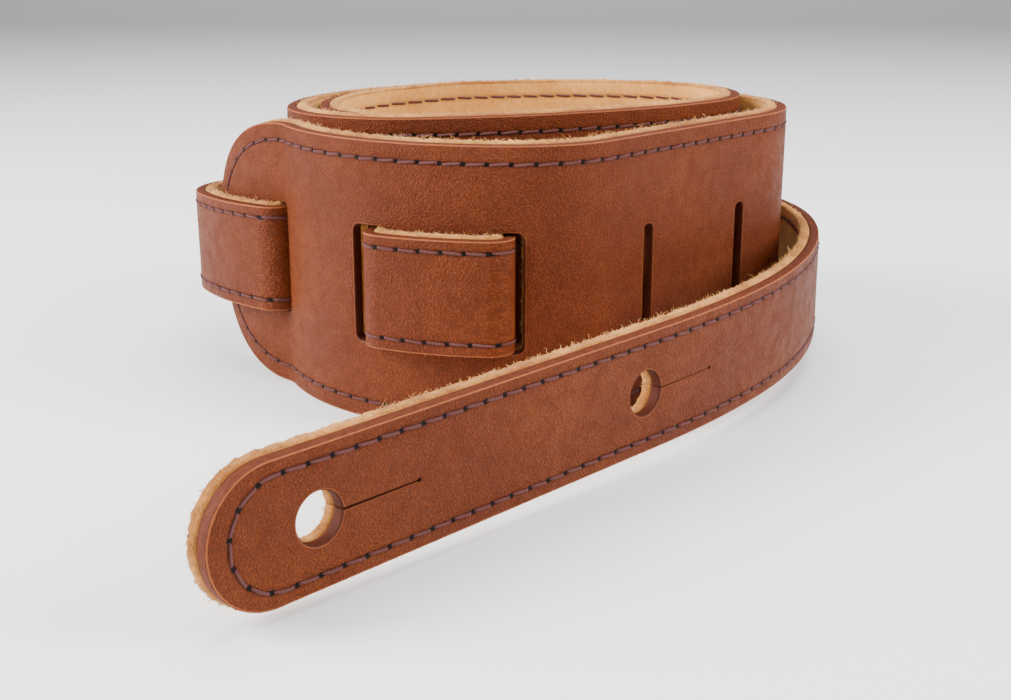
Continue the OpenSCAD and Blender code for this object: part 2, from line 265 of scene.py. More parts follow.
# How far the band's turns have ridden up out of the coil, by distance
RISE = [(0, 0), (180, 0), (390, 0.8), (480, 2), (630, 2.8), (BAND_BEND, 0.3)]
band = Strap(BAND_START, COIL_PATH + TONGUE_PATH, -1, BAND_W, BAND_MARGIN,
             [(u, BAND_W / 2 + rise) for u, rise in RISE])
tail = Strap(TAIL_START, WEAVE_PATH + ROUND_PATH + NEAR_PATH + MIDDLE_PATH + TIP_PATH, 1, TAIL_W,
             TAIL_MARGIN, [(0, WEAVE_Z), (WEAVE_L, WEAVE_Z), (TAIL_BENDS[0], FREE_Z)], TAIL_BENDS[0])


# ---- Flat outlines ---------------------------------------------------------------------------
# Each outline is a function of how much smaller (outer edges) or larger (holes) it is drawn, and
# always has the same number of points, so that its loops can be joined into walls.

def closed(values):
    """A loop's values with the first one repeated at the end."""
    return np.concatenate([values, values[:1]])


def arc(centre, radius, first, last, n):
    a = np.radians(np.linspace(first, last, n))
    return np.stack([centre[0] + radius * np.cos(a), centre[1] + radius * np.sin(a)], 1)


def edge_us(strap, first, last, cuts):
    """Distances of the corners along a straight edge, with one at each cut."""
    us = strap.marks()
    us = us[(us > first + 0.3) & (us < last - 0.3)]
    for cut in cuts:
        us = us[np.abs(us - cut) > 0.2]
    return np.sort(np.concatenate([us, cuts]))


def tail_outline(strap, cuts):
    """A strip with two half-round ends."""
    r = strap.half
    us = edge_us(strap, r, strap.length - r, cuts)

    def loop(inset, back=0.0):
        q, turn_u = r - inset, strap.length - r - back
        tip = arc((turn_u, 0), q, -90, 90, 54)
        end = arc((r, 0), q, 90, 270, 54)
        side = us[us < turn_u - 0.2]
        return np.concatenate([np.stack([side, side * 0 - q], 1), tip,
                               np.stack([side[::-1], side * 0 + q], 1), end])
    return loop


TONGUE_R = 15.0
TONGUE_TAPER = math.radians(19.3)


def band_outline(strap, cuts):
    """A strip with a half-round end and a tongue, whose taper is straight as seen from the
    front of its flat stretch and so curves where the leather bends."""
    r = strap.half
    hole_u = strap.length - TONGUE_R
    bend_r = TONGUE_PATH[0][0]
    flat_u = BAND_BEND + run(TONGUE_PATH[0])

    def unbent(x):
        behind = np.clip((flat_u - hole_u - x) / bend_r, 0, 1)
        return np.where(behind > 0, flat_u - bend_r * np.arcsin(behind), hole_u + x)

    def tangent(inset):
        q = TONGUE_R - inset
        x, rise = q * math.sin(TONGUE_TAPER), q * math.cos(TONGUE_TAPER)
        return x, rise, x - (r - inset - rise) / math.tan(TONGUE_TAPER)

    us = edge_us(strap, r, float(unbent(tangent(0)[2])) - 4, cuts)

    def loop(inset):
        x, rise, shoulder = tangent(inset)
        half = r - inset
        xs = np.linspace(shoulder, x, 70)
        taper = np.stack([unbent(xs), -(rise + (x - xs) * math.tan(TONGUE_TAPER))], 1)[:-1]
        run_in = np.linspace((us[-1] + 0.8, -half), taper[0], 5)[:-1]
        a = 90 - math.degrees(TONGUE_TAPER)
        tip = arc((hole_u, 0), TONGUE_R - inset, -a, a, 50)
        upper = np.concatenate([run_in, taper])[::-1] * (1, -1)
        end = arc((r, 0), half, 90, 270, 130)
        return np.concatenate([np.stack([us, us * 0 - half], 1), run_in, taper, tip, upper,
                               np.stack([us[::-1], us * 0 + half], 1), end])
    return loop


SLOT_H = 26.6
SLOT_R = 1.6


def slot_hole(u, width, v):
    """An upright slot with round corners, about (u, v)."""
    dx, dy = width / 2 - SLOT_R, SLOT_H / 2 - SLOT_R
    xs = np.linspace(-dx, dx, max(3, int(2 * dx / 0.9) + 2))[1:-1]
    ys = np.linspace(-dy, dy, 30)[1:-1]

    def loop(grow):
        r = SLOT_R + grow
        across = np.stack([xs, xs * 0 + dy + r], 1)
        upright = np.stack([ys * 0 + dx + r, ys], 1)
        return np.concatenate([
            arc((dx, dy), r, 0, 90, 9), across[::-1],
            arc((-dx, dy), r, 90, 180, 9), upright[::-1] * (-1, 1),
            arc((-dx, -dy), r, 180, 270, 9), across * (1, -1),
            arc((dx, -dy), r, 270, 360, 9), upright]) + (u, v)
    return loop


def button_hole(u, open_w):
    """A round hole with a slit back along the strap, which ends in a small punched dot."""
    def loop(grow):
        q, w, dot = BUTTON_R + grow, open_w + 0.35 * grow, 0.42 + 0.4 * grow
        lip = math.degrees(math.asin(w / q))
        ring = arc((u, 0), q, lip - 180, 180 - lip, 90)
        neck = math.degrees(math.asin(min(0.9, 0.7 * w / dot)))
        end = arc((u - SLIT, 0), dot, neck, 360 - neck, 14)
        top = np.linspace(ring[-1], end[0], 22)[1:-1]
        return np.concatenate([ring, top, end, top[::-1] * (1, -1)])
    return loop


def inside(points, loop):
    """Which points lie inside a closed loop."""
    hit = np.zeros(len(points), bool)
    near = np.nonzero(np.all((points > loop.min(0)) & (points < loop.max(0)), 1))[0]
    x, y = points[near].T
    odd = np.zeros(len(near), bool)
    for (x0, y0), (x1, y1) in zip(loop, np.roll(loop, -1, 0)):
        if y0 != y1:
            odd ^= ((y0 > y) != (y1 > y)) & (x < (x1 - x0) * (y - y0) / (y1 - y0) + x0)
    hit[near] = odd
    return hit


class Seam:
    """The line of stitches: points at equal steps along an outline's inset loop."""

    STEPS = 10

    def __init__(self, loop):
        # It starts where the seam is out of sight, at the strap's first end.
        lengths = np.linalg.norm(np.roll(loop, -1, 0) - loop, axis=1)
        self.total = lengths.sum()
        self.count = round(self.total / STITCH)
        self.pitch = self.total / self.count
        self.t = np.arange(self.count * self.STEPS) * self.pitch / self.STEPS
        ends = np.concatenate([[0], np.cumsum(lengths)])
        corners = closed(loop)
        self.points = np.stack([np.interp(self.t, ends, corners[:, k]) for k in (0, 1)], 1)
        ahead = np.roll(self.points, -3, 0) - np.roll(self.points, 3, 0)
        ahead /= np.linalg.norm(ahead, axis=1)[:, None]
        self.inward = np.stack([-ahead[:, 1], ahead[:, 0]], 1)

    def at(self, t, e):
        """Points at distance t along the seam and e inwards of it."""
        t = np.mod(t, self.total)
        grid = np.append(self.t, self.total)
        p = np.stack([np.interp(t, grid, closed(self.points)[:, k]) for k in (0, 1)], -1)
        n = np.stack([np.interp(t, grid, closed(self.inward)[:, k]) for k in (0, 1)], -1)
        return p + np.asarray(e)[..., None] * n

    def coordinates(self, points):
        """Seam marks of points near the seam."""
        out = []
        for p in points:
            i = int(np.argmin(((self.points - p) ** 2).sum(1)))
            n = self.inward[i]
            d = p - self.points[i]
            out.append(((self.t[i] + d @ np.array([n[1], -n[0]])) / self.pitch, abs(d @ n)))
        return np.array(out)


SEAM_ROWS = (-1.4, -0.8, -0.35, 0.0, 0.35, 0.8, 1.4)
# Each corner is marked with its place along the seam, in stitches, and its distance off the
# seam, in mm. Corners that are nowhere near the seam have one of these distances.
AWAY = 9.0
HOLE_WALL = 5.0


def unsewn(n, mark=AWAY):
    """Marks of n corners that are away from the seam."""
    return np.full((n, 2), (0.0, mark))


class Pattern:
    """One strap cut out flat and divided into triangles."""

    def __init__(self, strap, outline, seam_loop, holes, cuts, row):
        self.strap, self.outline, self.holes, self.cuts = strap, outline, holes, cuts
        self.seam = Seam(seam_loop)
        self.loops = [(outline, -1)] + [(hole, 1) for hole in holes]
        self.top, self.seam_at, self.top_faces, self.top_loops = self.divide(row)
        self.base, _, self.base_faces, self.base_loops = self.divide(9.0, plain=True)

    def divide(self, row, plain=False):
        """Corners, their seam marks, triangles, and the corners of each outline. A plain one has
        neither the seam nor the rounded rims: it is the side that is glued."""
        strap, seam = self.strap, self.seam
        points, marks, edges, loops = [], [], [], []

        def add(group, seam_at=None, joined=False, chain=False):
            first = sum(map(len, points))
            points.append(group)
            marks.append(unsewn(len(group)) if seam_at is None else seam_at)
            ids = list(range(first, first + len(group)))
            if joined or chain:
                edges.extend(zip(ids[:-1], ids[1:]))
            if joined:
                edges.append((ids[-1], ids[0]))
            return ids

        for loop, sign in self.loops:
            gap = 0 if plain else (BEVEL if sign < 0 else HOLE_RIM)
            loops.append(add(loop(gap), joined=True))
        if not plain:
            for e in SEAM_ROWS:
                ring = seam.points + e * seam.inward
                add(ring, np.stack([seam.t / seam.pitch, seam.t * 0 + abs(e)], 1))
            for loop in self.holes:
                for grow in (0.7, 1.3):
                    add(loop(HOLE_RIM + grow)[::2])
        # Cross-sections where the strap is later divided between bodies
        outer = self.outline(0 if plain else BEVEL)
        limit = strap.margin + SEAM_ROWS[-1] + 0.6
        for cut in self.cuts:
            low = next(i for i, p in enumerate(outer) if abs(p[0] - cut) < 1e-6 and p[1] < 0)
            high = next(i for i, p in enumerate(outer) if abs(p[0] - cut) < 1e-6 and p[1] > 0)
            reach = strap.half - limit
            vs = np.linspace(-reach, reach, 2 + int(2 * strap.half / row))
            if not plain:
                side = strap.half - strap.margin - np.array(SEAM_ROWS)
                vs = np.concatenate([-side, vs, side[::-1]])
            group = np.stack([vs * 0 + cut, vs], 1)
            ids = add(group, seam.coordinates(group) if not plain else None, chain=True)
            edges.extend([(loops[0][low], ids[0]), (ids[-1], loops[0][high])])
        # The rest of the strap
        us = strap.marks()[:: 4 if plain else 2 if row > 2.2 else 1]
        vs = np.arange(-strap.half, strap.half + 0.1, row)
        vs = vs - vs.mean()
        grid = np.stack(np.meshgrid(us, vs, indexing="ij"), -1).reshape(-1, 2)
        grid = grid[inside(grid, self.outline(limit if not plain else 2.0))]
        for loop, _ in self.loops[1:]:
            grid = grid[~inside(grid, loop(HOLE_RIM + (2.0 if not plain else 0.8)))]
        for cut in self.cuts:
            grid = grid[np.abs(grid[:, 0] - cut) > 0.4]
        add(grid)
        flat = np.concatenate(points)
        result = delaunay_2d_cdt([Vector(p) for p in flat], edges, [], 0, 1e-6, False)
        corners, _, faces = result[:3]
        assert len(corners) == len(flat), "points or lines of a pattern meet"
        faces = np.array(faces)
        middles = flat[faces].mean(1)
        keep = inside(middles, flat[loops[0]])
        for ids in loops[1:]:
            keep &= ~inside(middles, flat[ids])
        return flat, np.concatenate(marks), faces[keep], loops


# ---- Meshes ----------------------------------------------------------------------------------

def lumps(u, v, size, seed=0.0):
    """A smooth irregular value from -1 to 1."""
    a, b = u / size, v / size
    return (np.sin(1.7 * a + 2.1 * np.sin(0.61 * a + seed) + seed) * np.cos(1.3 * b + seed)
            + np.sin(3.9 * a + 1.3 * b + 1.7 * np.sin(1.13 * a - seed)) * 0.6
            + np.sin(7.3 * a - 2.2 * b + 2.0 * np.sin(2.3 * a)) * 0.4) / 2


class Cloud:
    """Corners, faces and attributes that are gathered and then made into objects."""

    def __init__(self):
        self.flat, self.seam, self.faces, self.kinds, self.n = [], [], [], [], 0

    def add(self, flat, seam, faces, kind):
        """flat is (u, v, out) per corner."""
        self.flat.append(flat)
        self.seam.append(seam)
        self.faces.append([tuple(int(i) + self.n for i in face) for face in faces])
        self.kinds.append(kind)
        self.n += len(flat)

    def arrays(self):
        faces = [face for group in self.faces for face in group]
        kinds = [k for k, group in zip(self.kinds, self.faces) for _ in group]
        return np.concatenate(self.flat), np.concatenate(self.seam), faces, np.array(kinds)


def rough(u, v, amount):
    """How far a frayed edge stands out, in mm."""
    return amount * np.clip(0.5 + 0.5 * lumps(u, v, 0.9) + 0.45 * lumps(u, v, 0.31, 2.0), 0, 1.4)


def layer_flat(pattern, sign, thick, fray):
    """A closed layer of the strap, in flat coordinates. sign is 1 for the face and -1 for the
    lining. Kinds: 0 is the surface and 1 the cut edge."""
    strap, cloud = pattern.strap, Cloud()
    e = pattern.seam_at[:, 1]
    stitch = np.abs(pattern.seam_at[:, 0] - np.round(pattern.seam_at[:, 0]))
    groove = 0.14 * np.exp(-(e / 0.5) ** 2) * (1 + 1.6 * np.exp(-(stitch / 0.09) ** 2))
    swell = 0.12 * lumps(pattern.top[:, 0], pattern.top[:, 1], 14.0, sign)
    edge_d = np.minimum(strap.half - np.abs(pattern.top[:, 1]), 9)
    crown = 0.10 * np.exp(-np.clip(edge_d - BEVEL, 0, 9) / 1.1)
    out = thick - groove - crown + swell * np.clip(edge_d / 6, 0, 1)
    for ids in pattern.top_loops:
        out[ids] = thick - EDGE_DROP
    cloud.add(np.column_stack([pattern.top, sign * out]), pattern.seam_at, pattern.top_faces, 0)
    base = np.column_stack([pattern.base, np.zeros(len(pattern.base))])
    offset = cloud.n
    cloud.add(base, unsewn(len(base)), pattern.base_faces, 1)
    for (loop, way), top_ids, base_ids in zip(pattern.loops, pattern.top_loops, pattern.base_loops):
        mark = AWAY if way < 0 else HOLE_WALL
        rim = BEVEL if way < 0 else HOLE_RIM
        last = list(top_ids)
        levels = [(rim * (1 - math.sin(a)), thick - EDGE_DROP - rim * (1 - math.cos(a)))
                  for a in np.radians((25, 50, 75))]
        levels += [(0, thick - rim - 0.25), (0, thick * 0.55), (0, thick * 0.3)]
        for step, (gap, height) in enumerate(levels):
            ring = loop(gap)
            if fray:
                normal = ring - loop(gap + 0.5)
                normal /= np.maximum(np.linalg.norm(normal, axis=1), 1e-6)[:, None]
                amount = rough(ring[:, 0] * (1 + 0.13 * step), ring[:, 1], fray)
                amount = amount * (0.3 + 0.7 * min(step, 3) / 3)
                ring = ring + normal * amount[:, None] * (1 if way < 0 else 0.45)
            n = len(ring)
            first = cloud.n
            corners = np.column_stack([ring, np.full(n, sign * height)])
            quads = [(last[i] - first, last[(i + 1) % n] - first, (i + 1) % n, i) for i in range(n)]
            cloud.add(corners, unsewn(n, mark), quads, 1)
            last = list(range(first, first + n))
        n = len(last)
        foot = [offset + i for i in base_ids]
        cloud.add(np.zeros((0, 3)), np.zeros((0, 2)),
                  [(last[i] - cloud.n, last[(i + 1) % n] - cloud.n, foot[(i + 1) % n] - cloud.n,
                    foot[i] - cloud.n) for i in range(n)], 1)
    return cloud


# A hair's corners are three rings of three and its tip. Its faces are the sides, the three at
# the tip and the one at the root.
HAIR_FACES = [(3 * k + j, 3 * k + (j + 1) % 3, 3 * k + (j + 1) % 3 + 3, 3 * k + j + 3)
              for k in range(2) for j in range(3)]
HAIR_FACES += [(6, 7, 9), (7, 8, 9), (8, 6, 9), (2, 1, 0)]


def fibres(roots, tips, radius):
    """Thin tapered hairs, bent a little. roots and tips are flat (u, v, out)."""
    n = len(roots)
    way = tips - roots
    bow = rng.normal(0, 0.16, (n, 3)) * np.linalg.norm(way, axis=1)[:, None]
    across = np.cross(way, rng.normal(0, 1, (n, 3)))
    across /= np.maximum(np.linalg.norm(across, axis=1), 1e-6)[:, None]
    other = np.cross(way, across)
    other /= np.maximum(np.linalg.norm(other, axis=1), 1e-6)[:, None]
    rings = []
    for s, thin in ((0, 1), (0.4, 0.8), (0.75, 0.5)):
        middle = roots + way * s + bow * (4 * s * (1 - s))
        for a in (0, 2 * math.pi / 3, 4 * math.pi / 3):
            rings.append(middle + radius * thin * (across * math.cos(a) + other * math.sin(a)))
    corners = np.stack(rings + [tips], 1)
    count = corners.shape[1]
    faces = [tuple(count * i + c for c in face) for i in range(n) for face in HAIR_FACES]
    return corners.reshape(-1, 3), faces


def edge_fibres(outline, holes, per_mm, fray):
    """Hairs of suede along the cut edges of the lining."""
    roots, tips = [], []
    for loop, weight in [(outline, 1.0)] + [(hole, 0.8) for hole in holes]:
        ring, inner = loop(0), loop(0.5)
        lengths = np.linalg.norm(np.roll(ring, -1, 0) - ring, axis=1)
        ends = np.concatenate([[0], np.cumsum(lengths)])
        n = int(ends[-1] * per_mm * weight)
        t = rng.uniform(0, ends[-1], n)
        t = t[lumps(t, t * 0, 2.3, 1.0) + rng.normal(0, 0.5, n) > -0.45]
        n = len(t)
        p = np.stack([np.interp(t, ends, closed(ring)[:, k]) for k in (0, 1)], 1)
        q = np.stack([np.interp(t, ends, closed(inner)[:, k]) for k in (0, 1)], 1)
        outward = (p - q) / np.maximum(np.linalg.norm(p - q, axis=1), 1e-6)[:, None]
        sideways = np.stack([-outward[:, 1], outward[:, 0]], 1)
        size = rng.uniform(0.35, 1.0, n) + (rng.uniform(0, 1, n) > 0.93) * rng.uniform(0.3, 1.0, n)
        size *= 1.0 if weight == 1 else 0.6
        depth = rng.uniform(-LINING + 0.1, -0.25, n)
        tilt = rng.normal(0, 0.7, n)
        root = np.column_stack([p + outward * rough(p[:, 0], p[:, 1], fray)[:, None] * 0.2, depth])
        shift = outward * (size * 0.85)[:, None] + sideways * (size * tilt)[:, None]
        roots.append(root)
        tips.append(root + np.column_stack([shift, rng.normal(-0.15, 0.35, n) * size]))
    return fibres(np.concatenate(roots), np.concatenate(tips), 0.055)


def thread_flat(pattern, sign, thick):
    """The stitches on one side: separate slanted loops of thread that dip into their holes."""
    seam = pattern.seam
    s = np.array([0, 0.05, 0.12, 0.24, 0.42, 0.58, 0.76, 0.88, 0.95, 1.0])
    sides = 8
    a = np.arange(sides) * 2 * math.pi / sides
    dip = np.clip((np.abs(2 * s - 1) - 0.72) / 0.28, 0, 1) ** 2
    centre = thick - 0.10 + 0.10 * np.sin(math.pi * s) - 0.85 * dip
    slant = 0.17 * (2 * s - 1)
    wide = 0.27 - 0.07 * dip + 0.05 * np.sin(math.pi * s)
    deep = 0.24
    flat, faces, n = [], [], 0
    for i in range(seam.count):
        pull = rng.normal(0, 0.04)
        t = (i + 0.03 + 0.94 * s) * seam.pitch
        e = slant[:, None] + pull + wide[:, None] * np.cos(a)
        out = centre[:, None] + rng.normal(0, 0.02) + deep * np.sin(a)
        p = seam.at(np.repeat(t[:, None], sides, 1), e)
        flat.append(np.concatenate([p, sign * out[..., None]], -1).reshape(-1, 3))
        for k in range(len(s) - 1):
            for j in range(sides):
                b = (j + 1) % sides
                faces.append((n + sides * k + j, n + sides * k + b,
                              n + sides * (k + 1) + b, n + sides * (k + 1) + j))
        faces.append(tuple(n + j for j in range(sides)))
        faces.append(tuple(n + sides * (len(s) - 1) + j for j in reversed(range(sides))))
        n += sides * len(s)
    flat = np.concatenate(flat)
    marks = np.concatenate([np.stack([np.repeat((i + s) * seam.pitch, sides),
                                      np.tile(a, len(s))], 1) for i in range(seam.count)])
    return flat, marks, faces


def make_object(name, strap, flat, marks, faces, kinds, materials, close=False):
    """Lays flat corners along the strap, and closes its open cross-sections if close is set."""
    used = np.unique(np.concatenate([np.asarray(face) for face in faces]))
    lookup = np.full(len(flat), -1)
    lookup[used] = np.arange(len(used))
    mesh = bpy.data.meshes.new(name)
    faces = [tuple(lookup[list(face)]) for face in faces]
    mesh.from_pydata(strap.place(*flat[used].T).tolist(), [], faces)
    seam_at = np.column_stack([marks[used], np.zeros(len(used))])
    for key, values in (("strap", flat[used]), ("seam", seam_at)):
        layer = mesh.attributes.new(key, "FLOAT_VECTOR", "POINT")
        layer.data.foreach_set("vector", values.astype(np.float32).ravel())
    mesh.polygons.foreach_set("material_index", np.asarray(kinds, np.int32))
    mesh.validate()
    bm = bmesh.new()
    bm.from_mesh(mesh)
    for face in bm.faces:
        face.smooth = True
    if close:
        open_edges = [edge for edge in bm.edges if edge.is_boundary]
        for edge in open_edges:
            edge.smooth = False
        bmesh.ops.holes_fill(bm, edges=open_edges, sides=0)
    bmesh.ops.recalc_face_normals(bm, faces=bm.faces)
    bm.to_mesh(mesh)
    bm.free()
    obj = bpy.data.objects.new(name, mesh)
    bpy.context.scene.collection.objects.link(obj)
    for material in materials:
        mesh.materials.append(material)
    return obj


# ---- Materials -------------------------------------------------------------------------------

class Shader:
    """A material built up node by node."""

    def __init__(self, name, colour, roughness, specular):
        self.material = bpy.data.materials.new(name)
        self.material.use_nodes = True
        self.tree = self.material.node_tree
        self.body = self.tree.nodes["Principled BSDF"]
        self.body.inputs["Base Color"].default_value = (*colour, 1)
        self.body.inputs["Roughness"].default_value = roughness
        self.body.inputs["Specular IOR Level"].default_value = specular
        self.material.diffuse_color = (*colour, 1)
        # Flat coordinates in mm, so that the grain follows the strap round its bends
        self.flat = self.node("ShaderNodeAttribute")
        self.flat.attribute_name = "strap"
        self.seam = self.node("ShaderNodeAttribute")
        self.seam.attribute_name = "seam"

    def node(self, kind, **inputs):
        made = self.tree.nodes.new(kind)
        for key, value in inputs.items():
            self.set(made.inputs[key.replace("_", " ")], value)
        return made

    def set(self, socket, value):
        if isinstance(value, bpy.types.NodeSocket):
            self.tree.links.new(value, socket)
        else:
            socket.default_value = value

    def noise(self, scale, detail=4.0, rough=0.55, stretch=(1, 1, 1)):
        mapped = self.node("ShaderNodeMapping", Vector=self.flat.outputs["Vector"], Scale=stretch)
        return self.node("ShaderNodeTexNoise", Vector=mapped.outputs[0], Scale=scale, Detail=detail,
                         Roughness=rough).outputs["Fac"]

    def cells(self, scale, feature="F1"):
        made = self.node("ShaderNodeTexVoronoi", Vector=self.flat.outputs["Vector"], Scale=scale)
        made.feature = feature
        return made.outputs["Distance"]

    def math(self, operation, a, b=0.0):
        made = self.tree.nodes.new("ShaderNodeMath")
        made.operation = operation
        for socket, value in zip(made.inputs, (a, b)):
            self.set(socket, value)
        return made.outputs[0]

    def spread(self, value, low, high, to_low=0.0, to_high=1.0):
        made = self.tree.nodes.new("ShaderNodeMapRange")
        made.interpolation_type = "SMOOTHSTEP"
        for key, v in (("Value", value), ("From Min", low), ("From Max", high),
                       ("To Min", to_low), ("To Max", to_high)):
            self.set(made.inputs[key], v)
        return made.outputs["Result"]

    def mix(self, amount, a, b):
        made = self.tree.nodes.new("ShaderNodeMix")
        made.data_type = "RGBA"
        self.set(made.inputs[0], amount)
        for socket, value in ((made.inputs[6], a), (made.inputs[7], b)):
            self.set(socket, (*value, 1) if isinstance(value, tuple) else value)
        return made.outputs[2]

    def bump(self, height, distance, strength, normal=None):
        made = self.node("ShaderNodeBump", Height=height, Distance=distance, Strength=strength)
        if normal is not None:
            self.set(made.inputs["Normal"], normal)
        return made.outputs[0]

    def finish(self, colour, roughness, normal):
        self.set(self.body.inputs["Base Color"], colour)
        self.set(self.body.inputs["Roughness"], roughness)
        self.set(self.body.inputs["Normal"], normal)
        return self.material


def srgb(r, g, b):
    """A linear colour from one in 0 to 255 sRGB values."""
    def linear(c):
        c /= 255
        return c / 12.92 if c <= 0.04045 else ((c + 0.055) / 1.055) ** 2.4
    return tuple(linear(c) for c in (r, g, b))


def times(colour, factor):
    """A lighter or darker colour."""
    return tuple(min(1, c * factor) for c in colour)


def leather(name):
    """Pebbled brown grain leather, pulled darker and lighter in broad patches."""
    s = Shader(name, srgb(103, 45, 16), 0.55, 0.1)
    patch = s.noise(0.035, 3, 0.6)
    mottle = s.noise(0.28, 5, 0.65)
    pore_and_glint = s.noise(4.2, 3, 0.6)
    pebble = s.cells(1.9)
    crease = s.cells(1.1, "DISTANCE_TO_EDGE")
    colour = s.mix(s.spread(patch, 0.3, 0.72), srgb(94, 39, 12), srgb(110, 50, 18))
    colour = s.mix(s.spread(mottle, 0.38, 0.68, 0, 0.5), colour, srgb(80, 32, 12))
    # Painted highlights: light orange specks on the grain stand in for glints
    colour = s.mix(s.spread(pore_and_glint, 0.55, 0.78, 0, 0.6), colour, srgb(166, 88, 40))
    colour = s.mix(s.spread(pebble, 0.29, 0.61, 0, 0.42), colour, srgb(56, 23, 10))
    # Painted shade: near-black spots for the needle holes, and a painted shadow along the groove
    # pressed along the seam
    split = s.node("ShaderNodeSeparateXYZ", Vector=s.seam.outputs["Vector"]).outputs
    off_line = s.math("ABSOLUTE", split[1])
    colour = s.mix(s.spread(off_line, 0.2, 1.0, 0.4, 0), colour, srgb(50, 18, 10))
    step = s.math("PINGPONG", split[0], 0.5)
    across = s.math("DIVIDE", off_line, 0.58)
    lengthways = s.math("DIVIDE", s.math("MULTIPLY", step, STITCH), 0.85)
    spot = s.math("ADD", s.math("POWER", across, 2.0), s.math("POWER", lengthways, 2.0))
    colour = s.mix(s.spread(spot, 0.45, 1.15, 1, 0), colour, srgb(16, 7, 6))
    height = s.math("ADD", s.math("MULTIPLY", s.spread(pebble, 0.1, 0.6), -0.8),
                    s.math("MULTIPLY", pore_and_glint, 0.7))
    height = s.math("ADD", height, s.math("MULTIPLY", s.spread(crease, 0.0, 0.09), 0.35))
    normal = s.bump(height, 0.00022, 0.9, s.bump(s.noise(0.12, 3), 0.0009, 0.35))
    rough = s.spread(mottle, 0.3, 0.7, 0.44, 0.60)
    return s.finish(colour, rough, normal)


def cut_edge(name):
    """The cut edge of the brown layer: burnished, with a painted highlight along its rounded top
    arris.
    """
    s = Shader(name, srgb(118, 56, 32), 0.7, 0.12)
    out = s.node("ShaderNodeSeparateXYZ", Vector=s.flat.outputs["Vector"]).outputs[2]
    outer = s.node("ShaderNodeSeparateXYZ", Vector=s.seam.outputs["Vector"]).outputs[1]
    depth = s.math("ABSOLUTE", out)
    grain = s.noise(1.6, 5, 0.7, (0.35, 0.35, 2.5))
    colour = s.mix(s.spread(grain, 0.35, 0.7), srgb(66, 27, 14), srgb(104, 49, 25))
    # Painted highlight: a light line along the rounded top arris of the edge
    arris_highlight = s.math("MULTIPLY", s.spread(depth, FACE - 0.25, FACE - 0.1, 0, 0.4), s.spread(outer, 6, 8))
    colour = s.mix(arris_highlight, colour, srgb(188, 108, 60))
    colour = s.mix(s.spread(depth, 0.05, 0.55, 0.85, 0), colour, srgb(70, 32, 20))
    # Painted shade: the walls of the holes and slots are darker
    colour = s.mix(s.spread(outer, 5.5, 7.5, 0.6, 0), colour, srgb(58, 24, 15))
    normal = s.bump(grain, 0.00025, 0.7)
    return s.finish(colour, 0.6, normal)


def suede(name, light, dark):
    """Fibrous suede that catches the light on its nap."""
    s = Shader(name, light, 0.95, 0.05)
    nap = s.noise(0.9, 6, 0.75, (1, 0.55, 1))
    fine = s.noise(5.0, 4, 0.7)
    patch = s.noise(0.07, 3, 0.6)
    colour = s.mix(s.spread(patch, 0.3, 0.7), dark, light)
    colour = s.mix(s.spread(nap, 0.35, 0.7, 0, 0.5), colour, times(dark, 0.62))
    colour = s.mix(s.spread(fine, 0.5, 0.75, 0, 0.45), colour, times(light, 1.18))
    # Painted shade along the groove that the stitches press into the suede
    split = s.node("ShaderNodeSeparateXYZ", Vector=s.seam.outputs["Vector"]).outputs
    off_line = s.math("ABSOLUTE", split[1])
    colour = s.mix(s.spread(off_line, 0.25, 1.2, 0.4, 0), colour, times(dark, 0.45))
    height = s.math("ADD", nap, s.math("MULTIPLY", fine, 0.5))
    s.body.inputs["Sheen Weight"].default_value = 0.12
    s.body.inputs["Sheen Roughness"].default_value = 0.5
    return s.finish(colour, 0.95, s.bump(height, 0.00035, 0.8))


def yarn(name, colour):
    """Twisted thread: strands wind round it along its length, with painted shade between the strands
    and painted highlight on them.
    """
    s = Shader(name, colour, 0.7, 0.3)
    split = s.node("ShaderNodeSeparateXYZ", Vector=s.seam.outputs["Vector"]).outputs
    turn = s.math("ADD", s.math("MULTIPLY", split[0], 5.2), split[1])
    wind = s.math("SINE", s.math("MULTIPLY", turn, 3.0))
    fuzz = s.noise(6.0, 3, 0.7)
    # Painted shade and highlight: darker and lighter bands that follow the twist
    shade = s.mix(s.spread(wind, -1, 1), times(colour, 0.5), times(colour, 1.25))
    shade = s.mix(s.spread(fuzz, 0.45, 0.75, 0, 0.35), shade, times(colour, 1.7))
    return s.finish(shade, 0.72, s.bump(wind, 0.00012, 0.8))


brown = leather("brown_leather")
brown_edge = cut_edge("leather_edge")
tan = suede("suede_lining", srgb(230, 168, 90), srgb(210, 146, 72))
cream = suede("frayed_edge", srgb(208, 144, 72), srgb(142, 84, 36))
strand = suede("loose_fibres", srgb(240, 190, 118), srgb(206, 144, 76))
purple = yarn("thread", srgb(94, 50, 48))


# ---- Pieces of each strap --------------------------------------------------------------------

def point_on(strap, u):
    """The middle of the strap at distance u."""
    return Vector(strap.place(np.array([u]), np.array([0.0]), np.array([0.0]))[0])


class Span:
    """A stretch of a strap between two cuts, the bodies it lies on, and the bend between them if
    there are two.
    """

    def __init__(self, name, first, last, bodies, bend=None, reach=11.0):
        self.name, self.first, self.last, self.bodies = name, first, last, bodies
        self.bend, self.reach = bend, reach

    def attach(self, obj, strap):
        if len(self.bodies) == 1:
            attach(obj, self.bodies[0])
        else:
            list(self.bodies)
            point_on(strap, self.bend - self.reach)
            point_on(strap, self.bend + self.reach)
            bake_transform(obj)


